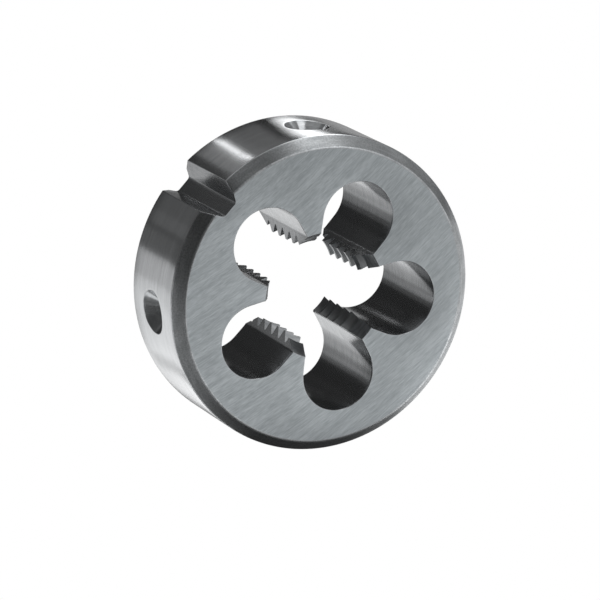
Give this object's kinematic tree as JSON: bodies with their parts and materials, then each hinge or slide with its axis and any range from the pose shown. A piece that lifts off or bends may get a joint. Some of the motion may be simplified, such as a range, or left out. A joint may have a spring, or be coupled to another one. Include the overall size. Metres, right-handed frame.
{
  "type": "round threading die",
  "caption": "Round hardened-steel die with a threaded bore, chip holes between its cutting lands, and a V slot and set-screw dimples round the outside, for cutting outside threads.",
  "frame": {"origin": "thread axis where it meets the back face, which the die lies on", "axes": "+Z along the thread axis from the back face to the front face; the adjusting slot faces 45 degrees between +X and -Y"},
  "size_m": [0.038, 0.038, 0.014],
  "materials": {
    "tool_steel": "hardened tool steel, ground faces and turned outside"
  },
  "bodies": {
    "root": {"die_body": "tool_steel"}
  },
  "joints": []
}
